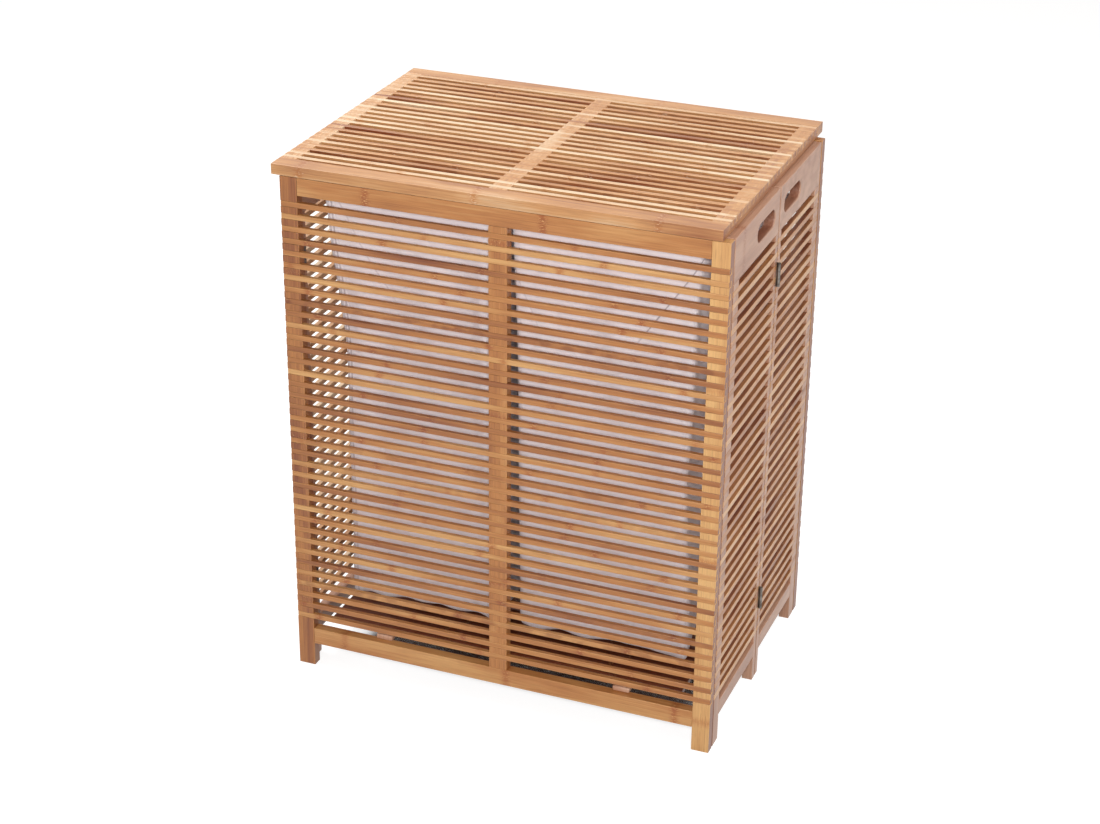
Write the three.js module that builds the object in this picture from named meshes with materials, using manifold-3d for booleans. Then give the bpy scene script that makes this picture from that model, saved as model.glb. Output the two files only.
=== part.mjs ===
// Laundry hamper with two bins: a folding frame of slatted bamboo panels, a hinged slatted lid,
// a slatted floor board and two cloth liners that hang side by side.
// Millimetres. +X is to the right as seen from the front, +Y to the back, +Z up.
// The pieces are laid out about the middle of the standing frame, and the last lines move the
// whole hamper so that its origin is the bottom centre of its bounding box.
import * as THREE from "three";
import { mergeVertices } from "three/addons/utils/BufferGeometryUtils.js";
import Module from "manifold-3d";

// Frame
const frameWidth = 500;
const frameDepth = 344;
const frameHeight = 600;
const panelThickness = 12;
const postWidth = 20;
const centreStileWidth = 21;
const topRailHeight = 20;
const bottomRailHeight = 20;
const bottomRailLift = 29;

// Slats, the same stock in the panels, the side leaves and the lid
const slatHeight = 6;
const slatDepth = 5.5;
const slatPitch = 14;
const slatEndInset = 0.3;
const panelSlatTopGap = 8;
const slatLeastEndGap = 3;

// Side leaves, two to a side
const leafThickness = 12;
const leafStileWidth = 18;
const leafMidStileWidth = 9;
const leafBoardHeight = 50;
const leafRailHeight = 18;
const leafRailLift = 31;
const leafSlatTopGap = 8;
const handleLength = 62;
const handleHeight = 20;
const handleDrop = 16;
const handleFromMiddle = 48;

// Lid
const lidThickness = 12;
const lidFrontOverhang = 4;
const lidBackOverhang = 14;
const lidLeftOverhang = 7.5;
const lidRightInset = 7.5;
const lidGap = 2;
const lidFrontRailWidth = 22;
const lidBackRailWidth = 20;
const lidSideStileWidth = 19;
const lidCentreStileWidth = 20;
const lidSlatBackGap = 1.5;

// Floor board
const floorSideGap = 26;
const floorSlatHeight = 6;
const floorSlatWidth = 12;
const floorSlatPitch = 20;
const floorEndGap = 3;
const battenWidth = 20;
const battenHeight = 6;
const battenFromFloorEnd = 68;
const battenRailLap = 4.7;
const battenBevelLength = 3;
const battenBevelHeight = 2;

// Liners and the hook tape that holds their hems
const tapeThickness = 1.5;
const tapeHeight = 16;
const tapeFromSide = 25;
const linerWall = 1.5;
const linerTopDrop = 3;
const linerFloorGap = 24.7;
const linerInnerX = 8;
const linerSideGap = 16;
const linerSideTaper = 8;
const linerEndTaper = 22;

// Hinges
const plateThickness = 0.8;
const knuckleRadius = 2;
const boreRadius = 1.4;
const pinRadius = 0.9;
const cornerPlateWidth = 11;
const leafPlateWidth = 13;
const cornerHingeHeight = 36;
const midPlateWidth = 10;
const midHingeHeight = 27;
const upperHingeDrop = 98;
const lowerHingeHeight = 105;
const lidHingeLength = 40;
const lidHingeFromSide = 100;
const lidFramePlateWidth = 16;
const lidMovingPlateWidth = 7.5;
const knuckleSides = 8;
const handleEndSteps = 8;

// Clearances: a glued or screwed seat, a running fit, the space between a corner hinge's plate
// and the end of its leaf, and a cutter's overrun
const seatGap = 0.2;
const runningGap = 0.3;
const cornerPlayGap = 1.6;
const overrun = 1;

const colours = {
  bamboo: 0xc08a52,
  paleBamboo: 0xd9b98c,
  cloth: 0xd9d0dc,
  tape: 0xe6e2e4,
  brass: 0x6d5a3c,
};

const wasm = await Module();
wasm.setup();

// Places that several pieces share
const halfWidth = frameWidth / 2;
const halfDepth = frameDepth / 2;
const panelInnerY = halfDepth - panelThickness;
const leafInnerX = halfWidth - leafThickness;
const topRailBottom = frameHeight - topRailHeight;
const bottomRailTop = bottomRailLift + bottomRailHeight;
const leafBoardBottom = frameHeight - leafBoardHeight;
const leafRailTop = leafRailLift + leafRailHeight;
const pinOffset = knuckleRadius + runningGap;
const cornerGap = seatGap + plateThickness + cornerPlayGap;
const midGap = 2 * (runningGap + plateThickness + seatGap);
const leafOuterY = panelInnerY - cornerGap;
const leafMidY = midGap / 2;
const lidLeft = -halfWidth - lidLeftOverhang;
const lidRight = halfWidth - lidRightInset;
const lidFront = -halfDepth - lidFrontOverhang;
const lidBack = halfDepth + lidBackOverhang;
const lidBottom = frameHeight + lidGap;
const floorBoardBottom = bottomRailTop + runningGap;
const floorBoardTop = floorBoardBottom + battenHeight + floorSlatHeight;

// A sorted pair of ends, for pieces that are mirrored by a sign
const span = (a, b) => (a < b ? [a, b] : [b, a]);

// A box between two x, two y and two z places
function block(xs, ys, zs) {
  const [[x0, x1], [y0, y1], [z0, z1]] = [xs, ys, zs];
  const geometry = new THREE.BoxGeometry(x1 - x0, y1 - y0, z1 - z0);
  return geometry.translate((x0 + x1) / 2, (y0 + y1) / 2, (z0 + z1) / 2);
}

const xAxis = new THREE.Vector3(1, 0, 0);
const yAxis = new THREE.Vector3(0, 1, 0);
const zAxis = new THREE.Vector3(0, 0, 1);

// An outline drawn in y and z, extruded between two x places
function prismAlongX(shape, [x0, x1]) {
  const geometry = new THREE.ExtrudeGeometry(shape, { depth: x1 - x0, bevelEnabled: false });
  geometry.translate(0, 0, x0);
  return geometry.applyMatrix4(new THREE.Matrix4().makeBasis(yAxis, zAxis, xAxis));
}

function solidOf(geometry) {
  const bare = geometry.clone();
  bare.deleteAttribute("normal");
  bare.deleteAttribute("uv");
  const merged = mergeVertices(bare);
  const vertProperties = merged.attributes.position.array;
  const triVerts = new Uint32Array(merged.index.array);
  return new wasm.Manifold(new wasm.Mesh({ numProp: 3, vertProperties, triVerts }));
}

function geometryOf(solid) {
  const mesh = solid.getMesh();
  const geometry = new THREE.BufferGeometry();
  geometry.setAttribute("position", new THREE.BufferAttribute(mesh.vertProperties, mesh.numProp));
  geometry.setIndex(new THREE.BufferAttribute(mesh.triVerts, 1));
  const flat = geometry.toNonIndexed();
  flat.computeVertexNormals();
  return flat;
}

const joined = (geometries) => geometries.map(solidOf).reduce((sum, next) => sum.add(next));
const join = (geometries) => geometryOf(joined(geometries));
const cut = (bases, tools) => geometryOf(joined(bases).subtract(joined(tools)));

function piece(name, geometry, colour, roughness = 0.6, metalness = 0) {
  const material = new THREE.MeshStandardMaterial({ color: colour, roughness, metalness });
  const mesh = new THREE.Mesh(geometry, material);
  mesh.name = name;
  return mesh;
}

function group(...meshes) {
  const made = new THREE.Group();
  made.add(...meshes);
  return made;
}

// The start of each slat along a run of some length, from a first place on and at one pitch
function slatPlaces(first, run) {
  const count = Math.floor((run - first - slatHeight - slatLeastEndGap) / slatPitch) + 1;
  return Array.from({ length: count }, (_, i) => first + i * slatPitch);
}

// The z span of each slat below a rail, from the top down
function slatSpans(top, bottom, topGap) {
  return slatPlaces(topGap, top - bottom).map((drop) => [top - drop - slatHeight, top - drop]);
}

const widened = ([a, b], by) => [a - by, b + by];

// Front and back panels: end is -1 for the front and 1 for the back
function panel(end) {
  const name = end < 0 ? "front" : "back";
  const depthSpan = span(end * panelInnerY, end * halfDepth);
  const slatY = span(end * (halfDepth - slatDepth), end * halfDepth);
  const notchY = span(end * (halfDepth - slatDepth - seatGap), end * (halfDepth + overrun));
  const slats = slatSpans(topRailBottom, bottomRailTop, panelSlatTopGap);
  const railX = [-halfWidth + postWidth + seatGap, halfWidth - postWidth - seatGap];
  const slatX = [-halfWidth + slatEndInset, halfWidth - slatEndInset];

  const post = (side) => {
    const postX = span(side * (halfWidth - postWidth), side * halfWidth);
    const notches = slats.map((z) => block(widened(postX, overrun), notchY, widened(z, seatGap)));
    return cut([block(postX, depthSpan, [0, frameHeight])], notches);
  };
  const stileX = [-centreStileWidth / 2, centreStileWidth / 2];
  const stileZ = [bottomRailTop + seatGap, topRailBottom - seatGap];
  const rack = join([
    block(stileX, depthSpan, stileZ),
    ...slats.map((z) => block(slatX, slatY, z)),
  ]);
  return group(
    piece(name + "_left_post", post(-1), colours.bamboo),
    piece(name + "_right_post", post(1), colours.bamboo),
    piece(name + "_top_rail", block(railX, depthSpan, [topRailBottom, frameHeight]), colours.bamboo),
    piece(
      name + "_bottom_rail",
      block(railX, depthSpan, [bottomRailLift, bottomRailTop]),
      colours.bamboo,
    ),
    piece(name + "_slat_rack", rack, colours.bamboo),
    piece(name + "_liner_tape", linerTape(end), colours.tape, 0.9),
  );
}

// Hook tape glued inside a top rail
function linerTape(end) {
  const face = panelInnerY - seatGap;
  const middle = topRailBottom + topRailHeight / 2;
  return block(
    [-halfWidth + tapeFromSide, halfWidth - tapeFromSide],
    span(end * face, end * (face - tapeThickness)),
    [middle - tapeHeight / 2, middle + tapeHeight / 2],
  );
}

// A stadium outline along the first axis of its plane
function stadium(centreU, centreV, length, height) {
  const radius = height / 2;
  const reach = length / 2 - radius;
  const shape = new THREE.Shape();
  shape.absarc(centreU + reach, centreV, radius, -Math.PI / 2, Math.PI / 2, false);
  shape.absarc(centreU - reach, centreV, radius, Math.PI / 2, (3 * Math.PI) / 2, false);
  return new THREE.Shape(shape.getPoints(handleEndSteps));
}

// One side leaf: side is -1 for the left and 1 for the right, end is -1 for the front
function sideLeaf(side, end) {
  const name = (side < 0 ? "left_" : "right_") + (end < 0 ? "front" : "rear") + "_leaf";
  const leafX = span(side * leafInnerX, side * halfWidth);
  const slatX = span(side * (halfWidth - slatDepth), side * halfWidth);
  const notchX = span(side * (halfWidth - slatDepth - seatGap), side * (halfWidth + overrun));
  const slats = slatSpans(leafBoardBottom, leafRailTop, leafSlatTopGap);
  const stileInnerY = leafOuterY - leafStileWidth;
  const stileY = span(end * stileInnerY, end * leafOuterY);
  const stileZ = [0, leafBoardBottom - seatGap];
  const notches = slats.map((z) => block(notchX, widened(stileY, overrun), widened(z, seatGap)));

  const slatY = span(end * leafMidY, end * (leafOuterY - slatEndInset));
  const railY = span(end * leafMidY, end * (stileInnerY - seatGap));
  const midStileY = span(end * leafMidY, end * (leafMidY + leafMidStileWidth));
  const rack = [
    block(leafX, midStileY, stileZ),
    block(leafX, railY, [leafRailLift, leafRailTop]),
    ...slats.map((z) => block(slatX, slatY, z)),
  ];

  const board = block(leafX, span(end * leafMidY, end * leafOuterY), [leafBoardBottom, frameHeight]);
  const slotZ = frameHeight - handleDrop - handleHeight / 2;
  const slot = stadium(end * handleFromMiddle, slotZ, handleLength, handleHeight);
  const slotCutter = prismAlongX(slot, widened(leafX, overrun));
  return group(
    piece(name + "_stile", cut([block(leafX, stileY, stileZ)], notches), colours.bamboo),
    piece(name + "_rack", join(rack), colours.bamboo),
    piece(name + "_board", cut([board], [slotCutter]), colours.bamboo),
  );
}

// Slatted lid
function lid() {
  const lidTop = lidBottom + lidThickness;
  const lidZ = [lidBottom, lidTop];
  const frontRailBack = lidFront + lidFrontRailWidth;
  const backRailFront = lidBack - lidBackRailWidth;
  const slatZ = [lidTop - slatDepth, lidTop];
  const notchZ = [lidTop - slatDepth - seatGap, lidTop + overrun];
  const slats = slatPlaces(lidSlatBackGap, backRailFront - frontRailBack).map((back) => [
    backRailFront - back - slatHeight,
    backRailFront - back,
  ]);
  const railX = [lidLeft + lidSideStileWidth + seatGap, lidRight - lidSideStileWidth - seatGap];

  const stile = (stileX) => {
    const notches = slats.map((y) => block(widened(stileX, overrun), widened(y, seatGap), notchZ));
    return cut([block(stileX, [lidFront, lidBack], lidZ)], notches);
  };
  const middle = (lidLeft + lidRight) / 2;
  const centreX = [middle - lidCentreStileWidth / 2, middle + lidCentreStileWidth / 2];
  const slatX = [lidLeft + slatEndInset, lidRight - slatEndInset];
  const rack = [
    block(centreX, [frontRailBack + seatGap, backRailFront - seatGap], lidZ),
    ...slats.map((y) => block(slatX, y, slatZ)),
  ];
  return group(
    piece("lid_left_stile", stile([lidLeft, lidLeft + lidSideStileWidth]), colours.paleBamboo),
    piece("lid_right_stile", stile([lidRight - lidSideStileWidth, lidRight]), colours.paleBamboo),
    piece("lid_front_rail", block(railX, [lidFront, frontRailBack], lidZ), colours.paleBamboo),
    piece("lid_back_rail", block(railX, [backRailFront, lidBack], lidZ), colours.paleBamboo),
    piece("lid_slat_rack", join(rack), colours.paleBamboo),
  );
}

// Floor board: slats across two battens, whose ends lie on the bottom rails
function floorBoard() {
  const floorHalfWidth = leafInnerX - floorSideGap;
  const battenFromMiddle = floorHalfWidth - battenFromFloorEnd;
  const slatZ = floorBoardBottom + battenHeight;
  const battenEnd = panelInnerY + battenRailLap;
  const slatRun = panelInnerY - floorEndGap;
  const count = Math.floor((2 * slatRun - floorSlatWidth) / floorSlatPitch) + 1;
  const firstY = (-(count - 1) * floorSlatPitch) / 2;
  const slats = Array.from({ length: count }, (_, i) => {
    const y = firstY + i * floorSlatPitch;
    return block(
      [-floorHalfWidth, floorHalfWidth],
      [y - floorSlatWidth / 2, y + floorSlatWidth / 2],
      [slatZ, floorBoardTop],
    );
  });
  const side = new THREE.Shape([
    new THREE.Vector2(-battenEnd, slatZ),
    new THREE.Vector2(-battenEnd, floorBoardBottom + battenBevelHeight),
    new THREE.Vector2(-battenEnd + battenBevelLength, floorBoardBottom),
    new THREE.Vector2(battenEnd - battenBevelLength, floorBoardBottom),
    new THREE.Vector2(battenEnd, floorBoardBottom + battenBevelHeight),
    new THREE.Vector2(battenEnd, slatZ),
  ]);
  const batten = (x) => prismAlongX(side, [x - battenWidth / 2, x + battenWidth / 2]);
  const battens = [batten(-battenFromMiddle), batten(battenFromMiddle)];
  return group(piece("floor_board", join([...battens, ...slats]), colours.bamboo));
}

// A tapered box between a lower and an upper rectangle, each given by its x and y spans
function taperedBlock(lower, lowerZ, upper, upperZ) {
  const geometry = new THREE.BoxGeometry(1, 1, 1);
  const place = geometry.attributes.position;
  for (let i = 0; i < place.count; i++) {
    const high = place.getZ(i) > 0;
    const [xs, ys] = high ? upper : lower;
    const x = xs[place.getX(i) > 0 ? 1 : 0];
    const y = ys[place.getY(i) > 0 ? 1 : 0];
    place.setXYZ(i, x, y, high ? upperZ : lowerZ);
  }
  return geometry;
}

// A liner: an open-topped cloth bag that hangs by its front and back hems
function liner(side) {
  const topZ = frameHeight - linerTopDrop;
  const bottomZ = floorBoardTop + linerFloorGap;
  const topY = panelInnerY - seatGap - tapeThickness - runningGap;
  const linerOuterX = leafInnerX - linerSideGap;
  const top = [span(side * linerInnerX, side * linerOuterX), [-topY, topY]];
  const lowX = span(side * (linerInnerX + linerSideTaper), side * (linerOuterX - linerSideTaper));
  const low = [lowX, [-topY + linerEndTaper, topY - linerEndTaper]];
  const shrunk = ([xs, ys]) => [widened(xs, -linerWall), widened(ys, -linerWall)];
  const outside = taperedBlock(low, bottomZ, top, topZ);
  const inside = taperedBlock(shrunk(low), bottomZ + linerWall, shrunk(top), topZ);
  const mouth = block(...shrunk(top), [topZ - overrun, topZ + overrun]);
  const name = (side < 0 ? "left" : "right") + "_liner";
  return piece(name, cut([outside], [inside, mouth]), colours.cloth, 0.9);
}

// A round bar or bore of few sides about the z axis
function bar(radius, [z0, z1]) {
  const geometry = new THREE.CylinderGeometry(radius, radius, z1 - z0, knuckleSides);
  return geometry.rotateX(Math.PI / 2).translate(0, 0, (z0 + z1) / 2);
}

// One half of a butt hinge with its pin line on z. Its plate lies between two x and two y
// places, and a tab at each of its own knuckles runs in to the barrel. The half that holds the
// pin has the two end knuckles, and the other has the bored one between them.
function hingeHalf(plateX, plateY, height, holdsPin) {
  const third = height / 3;
  const inner = third / 2 - runningGap / 2;
  const outer = third / 2 + runningGap / 2;
  const ends = [[-height / 2, -outer], [outer, height / 2]];
  const ownSpans = holdsPin ? ends : [[-inner, inner]];
  const toPin = ([a, b]) => [Math.min(a, 0), Math.max(b, 0)];
  const wideInX = plateX[1] - plateX[0] > plateY[1] - plateY[0];
  const tabX = wideInX ? toPin(plateX) : plateX;
  const tabY = wideInX ? plateY : toPin(plateY);
  const solids = [block(plateX, plateY, [-height / 2, height / 2])];
  for (const z of ownSpans) solids.push(block(tabX, tabY, z), bar(knuckleRadius, z));
  if (holdsPin) return join([...solids, bar(pinRadius, [-height / 2, height / 2])]);
  return cut(solids, [bar(boreRadius, [-third, third])]);
}

function hinge(name, geometry, place) {
  const mesh = piece(name, geometry, colours.brass, 0.4, 0.9);
  mesh.position.set(...place);
  return mesh;
}

const hingeHeights = { upper: frameHeight - upperHingeDrop, lower: lowerHingeHeight };
const plateNear = pinOffset - seatGap - plateThickness;
const plateFar = pinOffset - seatGap;

// Corner hinges: the pin stands inside the corner. One plate lies in the gap between the panel
// and the end of the leaf, the other on the inner face of the leaf.
function cornerHinges(side, end) {
  const corner = (end < 0 ? "front" : "back") + (side < 0 ? "_left" : "_right");
  const reach = pinOffset - runningGap / 2;
  const panelX = span(side * reach, side * (reach + cornerPlateWidth));
  const panelY = span(end * plateNear, end * plateFar);
  const leafX = span(side * plateNear, side * plateFar);
  const leafY = span(-end * reach, -end * (reach + leafPlateWidth));
  const x = side * (leafInnerX - pinOffset);
  const y = end * (panelInnerY - pinOffset);
  const made = { panel: [], leaf: [] };
  for (const [level, z] of Object.entries(hingeHeights)) {
    const name = "hinge_" + corner + "_" + level;
    const panelHalf = hingeHalf(panelX, panelY, cornerHingeHeight, true);
    made.panel.push(hinge(name + "_panel_half", panelHalf, [x, y, z]));
    const leafHalf = hingeHalf(leafX, leafY, cornerHingeHeight, false);
    made.leaf.push(hinge(name + "_leaf_half", leafHalf, [x, y, z]));
  }
  return made;
}

// Hinges on the middle line of a side: the barrel stands outside, the plates lie in the gap
function midHinges(side) {
  const x = side * (halfWidth + pinOffset);
  const plateX = span(-side * (pinOffset - runningGap / 2), -side * (pinOffset + midPlateWidth));
  const made = { rear: [], front: [] };
  for (const [level, z] of Object.entries(hingeHeights)) {
    const name = "hinge_" + (side < 0 ? "left" : "right") + "_middle_" + level;
    const rear = hingeHalf(plateX, [runningGap, runningGap + plateThickness], midHingeHeight, true);
    const front = hingeHalf(plateX, [-runningGap - plateThickness, -runningGap], midHingeHeight, false);
    made.rear.push(hinge(name + "_rear_half", rear, [x, 0, z]));
    made.front.push(hinge(name + "_front_half", front, [x, 0, z]));
  }
  return made;
}

// Lid hinges behind the back top rail: one plate on the back of the rail, one under the lid
function lidHinge(side) {
  const name = "hinge_lid_" + (side < 0 ? "left" : "right");
  const place = [
    side * (halfWidth - lidHingeFromSide),
    halfDepth + pinOffset,
    lidBottom - pinOffset,
  ];
  const reach = pinOffset - runningGap / 2;
  const framePlate = hingeHalf(
    [reach, reach + lidFramePlateWidth],
    [-plateFar, -plateNear],
    lidHingeLength,
    true,
  );
  const lidPlate = hingeHalf(
    [-plateFar, -plateNear],
    [reach, reach + lidMovingPlateWidth],
    lidHingeLength,
    false,
  );
  const onFrame = hinge(name + "_frame_half", framePlate, place);
  const onLid = hinge(name + "_lid_half", lidPlate, place);
  for (const half of [onFrame, onLid]) half.rotation.set(0, Math.PI / 2, 0);
  return { onFrame, onLid };
}

// Each group below is one rigid body of the folding hamper
const corners = {
  backRight: cornerHinges(1, 1),
  backLeft: cornerHinges(-1, 1),
  frontRight: cornerHinges(1, -1),
  frontLeft: cornerHinges(-1, -1),
};
const middles = { right: midHinges(1), left: midHinges(-1) };
const lidHinges = [lidHinge(-1), lidHinge(1)];

const backPanel = panel(1);
backPanel.add(...corners.backRight.panel, ...corners.backLeft.panel);
backPanel.add(...lidHinges.map((h) => h.onFrame), liner(-1), liner(1));
const frontPanel = panel(-1);
frontPanel.add(...corners.frontRight.panel, ...corners.frontLeft.panel);
const rightRear = sideLeaf(1, 1);
rightRear.add(...corners.backRight.leaf, ...middles.right.rear);
const rightFront = sideLeaf(1, -1);
rightFront.add(...corners.frontRight.leaf, ...middles.right.front);
const leftRear = sideLeaf(-1, 1);
leftRear.add(...corners.backLeft.leaf, ...middles.left.rear);
const leftFront = sideLeaf(-1, -1);
leftFront.add(...corners.frontLeft.leaf, ...middles.left.front);
const lidGroup = lid();
lidGroup.add(...lidHinges.map((h) => h.onLid));

const hamper = group(backPanel, rightRear, rightFront, frontPanel, leftRear, leftFront);
hamper.add(lidGroup, floorBoard());

// The origin goes to the bottom centre of the bounding box: the lid reaches furthest to the left,
// the front and the back, and the barrels of the right middle hinges furthest to the right
const rightmost = halfWidth + pinOffset + knuckleRadius;
const leftmost = Math.min(lidLeft, -rightmost);
hamper.position.set(-(leftmost + rightmost) / 2, -(lidFront + lidBack) / 2, 0);

export default hamper;
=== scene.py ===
# %% [markdown]
# A folding laundry hamper of slatted bamboo, with a slatted lid and two cloth bags inside.
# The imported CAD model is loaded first. It fixes every size and place, in metres, with +X to the
# right, +Y to the back and +Z up, so nothing here is measured by eye.

# %% The fixed frame
import math
import random

import bmesh
import bpy
from mathutils import Matrix, Vector


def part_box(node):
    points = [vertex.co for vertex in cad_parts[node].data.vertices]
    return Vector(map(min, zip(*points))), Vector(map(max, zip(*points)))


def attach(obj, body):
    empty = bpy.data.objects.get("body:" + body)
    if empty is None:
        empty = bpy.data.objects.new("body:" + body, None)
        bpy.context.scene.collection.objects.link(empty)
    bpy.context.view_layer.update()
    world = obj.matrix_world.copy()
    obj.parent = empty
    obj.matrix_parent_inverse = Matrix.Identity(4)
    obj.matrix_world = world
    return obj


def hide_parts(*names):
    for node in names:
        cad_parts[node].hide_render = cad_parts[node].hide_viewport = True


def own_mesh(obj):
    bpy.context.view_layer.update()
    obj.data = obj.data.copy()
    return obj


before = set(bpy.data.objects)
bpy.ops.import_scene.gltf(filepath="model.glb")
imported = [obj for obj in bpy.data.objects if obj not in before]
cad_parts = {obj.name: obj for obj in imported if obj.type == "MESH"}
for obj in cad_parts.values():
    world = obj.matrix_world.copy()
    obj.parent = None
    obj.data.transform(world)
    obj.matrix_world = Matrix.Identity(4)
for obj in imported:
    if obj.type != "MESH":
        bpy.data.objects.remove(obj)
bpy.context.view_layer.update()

# %% [markdown]
# The photograph was taken from the front right, from above the lid. A camera fitted to the corners
# of the posts and the lid gives its place, its heading and a long lens. Blender's camera looks
# down its own -Z, so it is tipped up from straight down, turned about Z, and rolled a little.

# %% Camera
camera_place = Vector((0.8676, -2.245, 1.452))
camera_heading = math.radians(21.3)
camera_dip = math.radians(25.77)
camera_roll = math.radians(0.6)
focal_length_mm = 76.6

camera = bpy.data.objects.new("camera", bpy.data.cameras.new("camera"))
camera.data.lens = focal_length_mm
turned = Matrix.Rotation(camera_heading, 4, "Z")
tipped = Matrix.Rotation(math.pi / 2 - camera_dip, 4, "X")
rolled = Matrix.Rotation(camera_roll, 4, "Z")
camera.matrix_world = Matrix.Translation(camera_place) @ turned @ tipped @ rolled
bpy.context.scene.collection.objects.link(camera)
bpy.context.scene.camera = camera
print("camera is", round(camera_place.length, 2), "m from the hamper's foot")

# %% [markdown]
# Materials are trees of nodes. A few short helpers keep the trees readable: a plain number fills a
# socket, and another node's output is linked to it.

# %% Helpers for node trees
def fill(tree, node, values):
    """Fills input sockets, given as (socket, value)."""
    for socket, value in values:
        if isinstance(value, bpy.types.NodeSocket):
            tree.links.new(value, node.inputs[socket])
        else:
            node.inputs[socket].default_value = value


def add_node(tree, kind, values=(), **settings):
    """A node with its settings made and its input sockets filled."""
    made = tree.nodes.new(kind)
    for key, value in settings.items():
        setattr(made, key, value)
    fill(tree, made, values)
    return made


def maths(tree, operation, *terms):
    """One step of arithmetic, such as ADD or SINE, on sockets and numbers."""
    return add_node(tree, "ShaderNodeMath", enumerate(terms), operation=operation).outputs[0]


def product(tree, first, second):
    return maths(tree, "MULTIPLY", first, second)


def noise(tree, place, stretch, detail=2.0, roughness=0.5):
    """Noise from 0 to 1. Stretch gives how many waves it has in a metre along each direction."""
    terms = [(0, place), (1, stretch)]
    spread = add_node(tree, "ShaderNodeVectorMath", terms, operation="MULTIPLY").outputs[0]
    values = [("Vector", spread), ("Scale", 1.0), ("Detail", detail), ("Roughness", roughness)]
    return add_node(tree, "ShaderNodeTexNoise", values).outputs[0]


def remap(tree, value, low, high, to_low=0.0, to_high=1.0, smooth=False):
    """Carries a value from one range to another, held at the ends."""
    kind = "SMOOTHSTEP" if smooth else "LINEAR"
    values = enumerate((value, low, high, to_low, to_high))
    return add_node(tree, "ShaderNodeMapRange", values, interpolation_type=kind).outputs[0]


def blended(tree, factor, first, second, blend_type="MIX"):
    """A colour between two. The mix node's sockets 6 and 7 and its output 2 are for colours."""
    values = ((0, factor), (6, first), (7, second))
    settings = {"data_type": "RGBA", "blend_type": blend_type}
    return add_node(tree, "ShaderNodeMix", values, **settings).outputs[2]


def darkened(tree, first, second):
    return blended(tree, 1.0, first, second, "MULTIPLY")


# %% [markdown]
# Finishes read what a mesh carries on its points and faces, and end in the Principled shader that
# a new material brings along.

# %% Helpers for finishes
def attribute(tree, name, output="Fac"):
    """What a mesh's points or faces carry under a name."""
    return add_node(tree, "ShaderNodeAttribute", attribute_name=name).outputs[output]


def parts_of(tree, vector):
    return add_node(tree, "ShaderNodeSeparateXYZ", [(0, vector)]).outputs


def bumped(tree, height, distance, strength):
    """A surface normal from a height, where distance is how deep the height's 1 is, in metres."""
    values = [("Height", height), ("Distance", distance), ("Strength", strength)]
    return add_node(tree, "ShaderNodeBump", values).outputs[0]


def colour(red, green, blue):
    """A colour as a paint chart gives it, 0 to 255, turned to the linear values that nodes use."""
    def linear(share):
        return share / 12.92 if share <= 0.04045 else ((share + 0.055) / 1.055) ** 2.4
    return (*(linear(value / 255) for value in (red, green, blue)), 1.0)


def new_finish(name):
    """A new material, its tree and its Principled shader."""
    material = bpy.data.materials.new(name)
    material.use_nodes = True
    return material, material.node_tree, material.node_tree.nodes["Principled BSDF"]


def shown(tree, shader, **values):
    """Fills the surface shader's sockets, by the shader's own names with _ for a space."""
    fill(tree, shader, [(name.replace("_", " "), value) for name, value in values.items()])


# %% [markdown]
# Strip bamboo is glued from split cane. It shows long straight fibres, short dark flecks where the
# vessels are cut, and a tone that changes from strip to strip. All of it follows the strip's
# length, so the pattern reads an attribute of the strip's points, grain: how far along, across and
# into the strip a point lies. Tone says how pale the strip is. Faces carry two more: edge marks the
# eased edges, where wear and a painted highlight leave the wood lighter, and side how much painted
# shade darkens the face.

# %% Fibres and tone
fibre_stretch = (9, 620, 620)
fleck_stretch = (55, 2300, 2300)
patch_stretch = (7, 48, 48)
patch_push, fibre_push = 1.1, 0.62
fleck_from, fleck_to, fleck_shade = 0.36, 0.5, 0.86


def stripped_cane(tree, grain, patch, fibre, dark, middle, pale):
    """The wood's colour from the strip's tone less the face's painted shade, pushed about by broad
    patches and fine fibres.
    """
    kept = maths(tree, "SUBTRACT", 1.0, attribute(tree, "side"))
    shade = product(tree, attribute(tree, "tone"), kept)
    for pattern, push in ((patch, patch_push), (fibre, fibre_push)):
        pushed = maths(tree, "MULTIPLY_ADD", pattern, push, -push / 2)
        shade = maths(tree, "ADD", shade, pushed)
    ramp = add_node(tree, "ShaderNodeValToRGB", [("Fac", shade)])
    for stop, tint in zip(ramp.color_ramp.elements, (dark, pale)):
        stop.color = tint
    ramp.color_ramp.elements.new(0.5).color = middle
    fleck = noise(tree, grain, fleck_stretch)
    flecked = remap(tree, fleck, fleck_from, fleck_to, fleck_shade, 1.0)
    return darkened(tree, ramp.outputs[0], flecked)


# %% [markdown]
# Cane has a node every 20 to 35 cm. Where a strip crosses one, the photograph shows a warm mottled
# patch with frayed ends and pale flecks, and not a hard ring. The patch repeats at a steady beat
# along the grain, a throw of the dice makes each one strong or faint, and noise that is stretched
# along the fibres frays its ends.

# %% Nodes of the cane
node_spacing = 0.2
node_fray = 0.010
node_core = 0.45 * node_fray
node_reach = 0.0085
node_strengths = (0.55, 1.0)
fray_stretch = (110, 800, 800)
pale_fleck_stretch = (330, 1100, 1100)
pale_fleck_share = 0.7


def from_nearest(tree, value, spacing):
    """How far a value is from the middle of the repeat it lies in, and that repeat's number."""
    beat = maths(tree, "DIVIDE", value, spacing)
    aside = maths(tree, "ABSOLUTE", maths(tree, "SUBTRACT", maths(tree, "FRACT", beat), 0.5))
    return product(tree, aside, spacing), maths(tree, "FLOOR", beat)


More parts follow.
